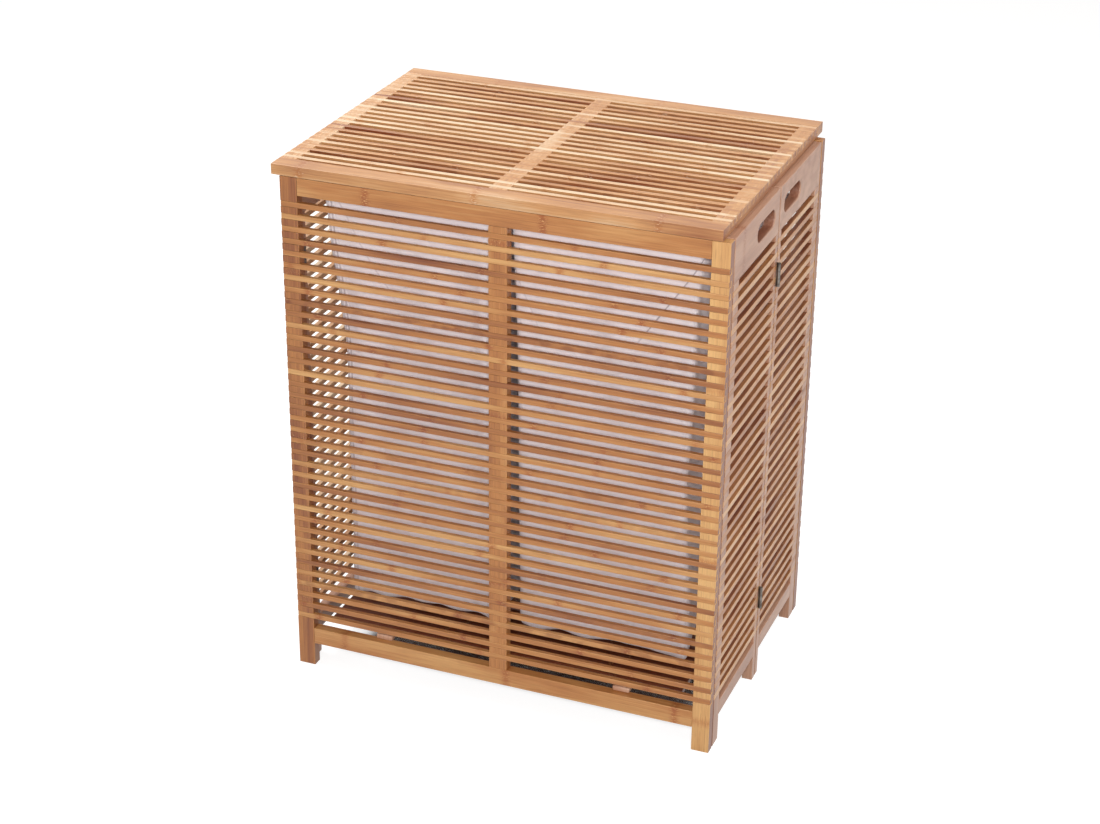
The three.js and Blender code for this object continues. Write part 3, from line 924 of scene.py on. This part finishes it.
def inset_at(side, share):
    """The outer side's inset at a share of the height, between the pairs on either hand."""
    pairs = outer_sides[side]
    for (a, start), (b, end) in zip(pairs, pairs[1:]):
        if share <= b:
            return start + (end - start) * max(share - a, 0) / (b - a)
    return pairs[-1][1]


def outline_at(side, low, high, share):
    """The bag's lowest and highest x and y at a share of its height."""
    outer = inset_at(side, share)
    left, right = (outer, 0) if side == "left" else (0, outer)
    end = end_taper * (1 - share)
    return Vector((low.x + left, low.y + end)), Vector((high.x - right, high.y - end))


def outline_by(vert, side, low, high):
    share = (vert.co.z - low.z) / (high.z - low.z)
    return outline_at(side, low, high, min(max(share, 0), 1))


print("left bag stands in by", round(inset_at("left", 0.55) * 1000), "mm half way up")

# %% [markdown]
# A bag starts as a grid for its bottom, whose rim is extruded upwards ring by ring, each ring
# fitted to the outline at its height, up to the mouth. The cut map is laid flat on every side, and
# the distances to the creases are stored before the bag hangs.

# %% The bag before it hangs
cell = 0.008
rim_rise = 0.008
belly = 0.006
sharp_slope, sharp_start = 0.66, 0.024
faint_slope, faint_start = 0.42, 0.056
left_slope, left_start = 0.47, 0.008
out_of_reach = 1.0


def bag_mesh(side, low, high):
    """An open bag of even cells inside the CAD liner, and its flat area."""
    bm = bmesh.new()
    cut = bm.loops.layers.uv.new("cut")
    bm.verts.layers.float_vector.new("marks")
    bottom = low.z + rim_rise
    rings = round((high.z - bottom) / cell)
    start, end = outline_at(side, low, high, 0)
    across, deep = (round(length / cell) for length in end - start)
    grid = bmesh.ops.create_grid(bm, x_segments=across, y_segments=deep, size=1)["verts"]
    for vert in grid:
        vert.co.z = bottom - belly * (1 - vert.co.x ** 2) * (1 - vert.co.y ** 2)
    bmesh.ops.scale(bm, vec=((end.x - start.x) / 2, (end.y - start.y) / 2, 1), verts=grid)
    bmesh.ops.translate(bm, vec=((start.x + end.x) / 2, (start.y + end.y) / 2, 0), verts=grid)
    rim = [edge for edge in bm.edges if edge.is_boundary]
    for ring in range(1, rings + 1):
        z = bottom + (high.z - bottom) * ring / rings
        wider = outline_at(side, low, high, ring / rings)
        grown = bmesh.ops.extrude_edge_only(bm, edges=rim)["geom"]
        for vert in only(bmesh.types.BMVert, grown):
            for axis in (X, Y):
                share = (vert.co[axis] - start[axis]) / (end[axis] - start[axis])
                vert.co[axis] = wider[0][axis] + share * (wider[1][axis] - wider[0][axis])
            vert.co.z = z
        start, end = wider
        rim = [edge for edge in only(bmesh.types.BMEdge, grown)
               if all(abs(v.co.z - z) < 1e-6 for v in edge.verts)]
    slump(bm, side, low, high)
    bmesh.ops.recalc_face_normals(bm, faces=bm.faces[:])
    for face in bm.faces:
        flat = max((X, Y, Z), key=lambda axis: abs(face.normal[axis]))
        first, second = [axis for axis in (X, Y, Z) if axis != flat]
        for loop in face.loops:
            loop[cut].uv = (loop.vert.co[first], loop.vert.co[second])
        face.smooth = True
    mark(bm, side, low, high)
    return bm, sum(face.calc_area() for face in bm.faces)


def slump(bm, side, low, high):
    """Lets the outer side sag inwards between its hems, most in the middle."""
    inwards = 1 if side == "left" else -1
    for vert in bm.verts:
        start, end = outline_by(vert, side, low, high)
        across = (vert.co.x - start.x) / (end.x - start.x)
        outward = 1 - across if side == "left" else across
        deep = min(max((vert.co.y - start.y) / (end.y - start.y), 0), 1)
        vert.co.x += inwards * side_slump * math.sin(math.pi * deep) * max(outward, 0)


def mark(bm, side, low, high):
    """Distances to the creases: the sharp one, the faint one and the turned edge."""
    marks = bm.verts.layers.float_vector["marks"]
    for vert in bm.verts:
        start, end = outline_by(vert, side, low, high)
        depth = high.z - vert.co.z
        from_left, from_right = vert.co.x - start.x, end.x - vert.co.x
        if side == "right":
            sharp = from_right - sharp_slope * (depth - sharp_start)
            faint = from_left - faint_slope * (depth - faint_start)
            vert[marks] = (sharp, faint, out_of_reach)
        else:
            faint = from_left - left_slope * depth - left_start
            vert[marks] = (out_of_reach, faint, from_left - turned_edge)


# %% [markdown]
# Then the corners are softened with smooth_vert, the walls get slow ripples and the lower edge a
# small wave, all from a seeded throw of the dice, so that every run gives the same bag.

# %% Ripples
full_turn = 6.28
still_height = 2.5 * cell
ripple_height = 0.0005
ripple_count, ripple_lengths, ripple_leans = 7, (0.05, 0.16), (-0.7, 0.7)
wave_height = 0.0008
wave_count, wave_lengths = 3, (0.04, 0.07)
wave_reach = 0.03


def rippled(bm, low, high, dice):
    middle = (low + high) / 2
    loose = [v for v in bm.verts if v.co.z < high.z - still_height]
    for _ in range(2):
        bmesh.ops.smooth_vert(bm, verts=loose, factor=0.5,
                              use_axis_x=True, use_axis_y=True, use_axis_z=True)
    ripples = [
        (dice.uniform(*ripple_lengths), dice.uniform(0, full_turn), dice.uniform(*ripple_leans))
        for _ in range(ripple_count)
    ]
    waves = [(dice.uniform(*wave_lengths), dice.uniform(0, full_turn)) for _ in range(wave_count)]
    for vert in loose:
        run = vert.co.x - vert.co.y
        push = sum(math.sin(full_turn * (run + lean * vert.co.z) / length + phase)
                   for length, phase, lean in ripples)
        outward = Vector((vert.co.x - middle.x, vert.co.y - middle.y, 0)).normalized()
        vert.co += outward * push * ripple_height
        near_rim = math.exp(-((vert.co.z - low.z - rim_rise) / wave_reach) ** 2)
        rise = sum(math.sin(full_turn * run / length + phase) for length, phase in waves)
        vert.co.z += near_rim * wave_height * rise


# %% [markdown]
# The cloth solver hangs the bag, with the front and back hems pinned and the cloth cut slightly
# too large, which is what makes it ripple. A cap on how far a point may move keeps it clear of the
# slats, and the result is applied, so nothing is left to run.

# %% Hanging
most_move = 0.005
drape_frames = 22
spare_cloth = 0.012
held_height, held_depth = 1.6 * cell, 0.7 * cell


def hang(bag, low, high):
    """Hangs the bag from its front and back hems with the cloth solver and applies the result."""
    start = [vert.co.copy() for vert in bag.data.vertices]
    hem = bag.vertex_groups.new(name="hem")
    middle_y = (low.y + high.y) / 2
    reach = (high.y - low.y) / 2
    held = [
        v.index for v in bag.data.vertices
        if v.co.z > high.z - held_height and abs(v.co.y - middle_y) > reach - held_depth
    ]
    hem.add(held, 1.0, "REPLACE")
    solver = bag.modifiers.new("hang", "CLOTH")
    cloth = solver.settings
    cloth.quality = 6
    cloth.mass = 0.12
    cloth.tension_stiffness = cloth.compression_stiffness = 18
    cloth.shear_stiffness = 8
    cloth.bending_stiffness = 0.35
    cloth.vertex_group_mass = "hem"
    cloth.shrink_min = -spare_cloth
    solver.point_cache.frame_start = 1
    solver.point_cache.frame_end = drape_frames
    scene = bpy.context.scene
    for number in range(1, drape_frames + 1):
        scene.frame_set(number)
    hung = bag.evaluated_get(bpy.context.evaluated_depsgraph_get())
    ends = [vert.co.copy() for vert in hung.data.vertices]
    bag.modifiers.remove(solver)
    bag.vertex_groups.clear()
    moved = 0.0
    for vert, before, after in zip(bag.data.vertices, start, ends):
        step = after - before
        if step.length > most_move:
            step = step.normalized() * most_move
        vert.co = before + step
        for axis in (X, Y):
            vert.co[axis] = min(max(vert.co[axis], low[axis]), high[axis])
        moved = max(moved, step.length)
    scene.frame_set(1)
    return moved


# %% [markdown]
# One subdivision smooths each bag, and solidify gives it the thickness of cloth; both are applied.
# The folded frame leaves the bags a slot of only 1.6 mm before the back panel. Each bag's printed
# area is the sum of its cells' areas before it ripples.
# Each bag's flat sheet is its girth by its height, with half its width for the bottom.

# %% Two bags
first_seed = 5
cloth_thickness = 0.0006


def finished(bag):
    """Smooths the bag, gives the cloth its thickness and applies both."""
    finer = bag.modifiers.new("finer", "SUBSURF")
    finer.levels = finer.render_levels = 1
    thick = bag.modifiers.new("cloth_thickness", "SOLIDIFY")
    thick.thickness = cloth_thickness
    thick.offset = 0
    shaped = bag.evaluated_get(bpy.context.evaluated_depsgraph_get())
    whole = bpy.data.meshes.new_from_object(shaped)
    bag.modifiers.clear()
    bag.data = whole
    return len(whole.polygons)


for number, side in enumerate(("left", "right")):
    node = side + "_liner"
    low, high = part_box(node)
    bm, area = bag_mesh(side, low, high)
    rippled(bm, low, high, random.Random(first_seed + number))
    bag = placed(side + "_bag", bm, liner_cloth)
    print(side, "bag moved up to", round(hang(bag, low, high) * 1000, 1), "mm")
    faces = finished(bag)
    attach(bag, "back_panel")
    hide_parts(node)
    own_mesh(bag)
    print(side, "bag has", faces, "faces and", round(area, 3), "square metres of cloth")

# %% [markdown]
# The hamper stands on a pale floor in a studio. The background has to be white, but more light
# would bleach the wood, so the floor adds a glow that only camera rays see to its plain shading.
# Under the hamper the photograph shows a brown dusk. So inside the footprint the glow fades out
# where Ambient Occlusion finds that something shuts off the sky over a spot, and the floor's own
# colour turns dusk brown there, a painted shade. Where the folded hamper leaves its footprint free,
# the floor is white again.

# %% Floor
floor_size = 30
glow_strength = 0.8
footprint_sides = ((X, -0.212, 0.025), (X, 0.24, -0.012), (Y, -0.142, 0.03), (Y, 0.165, -0.03))
overhang_reach = 0.16
shut_sky, free_sky = 0.25, 0.5
sky_samples = 12
white, bounce_grey, shadow_grey = ((grey, grey, grey, 1) for grey in (1, 0.35, 0.4))
painted_dusk_brown = colour(84, 54, 38)


def by_ray(tree, plain, direct):
    """A plain shader, and a direct one for rays from the camera, also by way of metal or glass."""
    ray = add_node(tree, "ShaderNodeLightPath").outputs
    seen = maths(tree, "MAXIMUM", ray["Is Camera Ray"], ray["Is Glossy Ray"])
    seen = maths(tree, "MAXIMUM", seen, ray["Is Transmission Ray"])
    return add_node(tree, "ShaderNodeMixShader", [(0, seen), (1, plain), (2, direct)]).outputs[0]


floor_finish, tree, _ = new_finish("studio_floor")
tree.nodes.clear()
reach = [("Distance", overhang_reach)]
found = add_node(tree, "ShaderNodeAmbientOcclusion", reach, samples=sky_samples)
within = remap(tree, found.outputs["AO"], shut_sky, free_sky, 1, 0, smooth=True)
spot = parts_of(tree, object_place(tree))
for axis, edge, fade in footprint_sides:
    within = product(tree, within, remap(tree, spot[axis], edge, edge + fade, smooth=True))
strength = remap(tree, within, 0.0, 1.0, glow_strength, 0.0)
bounce = add_node(tree, "ShaderNodeBsdfDiffuse", [("Color", bounce_grey)]).outputs[0]
# Painted shade: where the sky is shut off inside the footprint, the floor turns dusk brown.
shade = blended(tree, within, shadow_grey, painted_dusk_brown)
shadow = add_node(tree, "ShaderNodeBsdfDiffuse", [("Color", shade)]).outputs[0]
glow = add_node(tree, "ShaderNodeEmission", [("Color", white), ("Strength", strength)]).outputs[0]
both = add_node(tree, "ShaderNodeAddShader", [(0, shadow), (1, glow)]).outputs[0]
add_node(tree, "ShaderNodeOutputMaterial", [("Surface", by_ray(tree, bounce, both))])

bm = bmesh.new()
bmesh.ops.create_grid(bm, x_segments=1, y_segments=1, size=floor_size / 2)
placed("studio_floor", bm, floor_finish)
print("floor is", floor_size, "m square")

# %% [markdown]
# Lamps are large and soft. The key lamp stands a little right of the camera and hardly higher than
# it, because in the photograph light reaches the bags through the slats, and the panel fades only
# slowly towards its foot. A weak lamp on the left lights the slats that show through the front.
# The two rims stand high, so that the lid doesn't mirror them into a low camera beside it.

# %% Lamps and world
def softbox(name, place, aim, size, watts):
    """A square lamp that faces a point."""
    lamp = bpy.data.objects.new(name, bpy.data.lights.new(name, "AREA"))
    lamp.data.shape = "SQUARE"
    lamp.data.size = size
    lamp.data.energy = watts
    lamp.location = place
    lamp.rotation_euler = (Vector(aim) - Vector(place)).to_track_quat("-Z", "Y").to_euler()
    bpy.context.scene.collection.objects.link(lamp)


softbox("key", (0.88, -2.35, 1.46), (0, 0, 0.36), 0.6, 48)
softbox("left_fill", (-1.6, -2.2, 1.1), (0, 0, 0.3), 1.4, 8)
softbox("overhead", (0.1, 0, 2.7), (0, 0, 0.5), 1.8, 6)
softbox("left_rim", (-1.7, 0.4, 2.0), (0, 0, 0.4), 1.2, 44)
softbox("right_rim", (1.9, 0.2, 1.9), (0, 0, 0.35), 1.2, 21)

room_tint, room_strength = (1, 0.95, 0.9, 1), 0.28
world = bpy.data.worlds.new("studio")
bpy.context.scene.world = world
world.use_nodes = True
tree = world.node_tree
tree.nodes.clear()
room, backdrop = (
    add_node(tree, "ShaderNodeBackground", [("Color", tint), ("Strength", power)]).outputs[0]
    for tint, power in ((room_tint, room_strength), (white, 1.0))
)
add_node(tree, "ShaderNodeOutputWorld", [("Surface", by_ray(tree, room, backdrop))])
bpy.context.scene.view_settings.view_transform = "Standard"
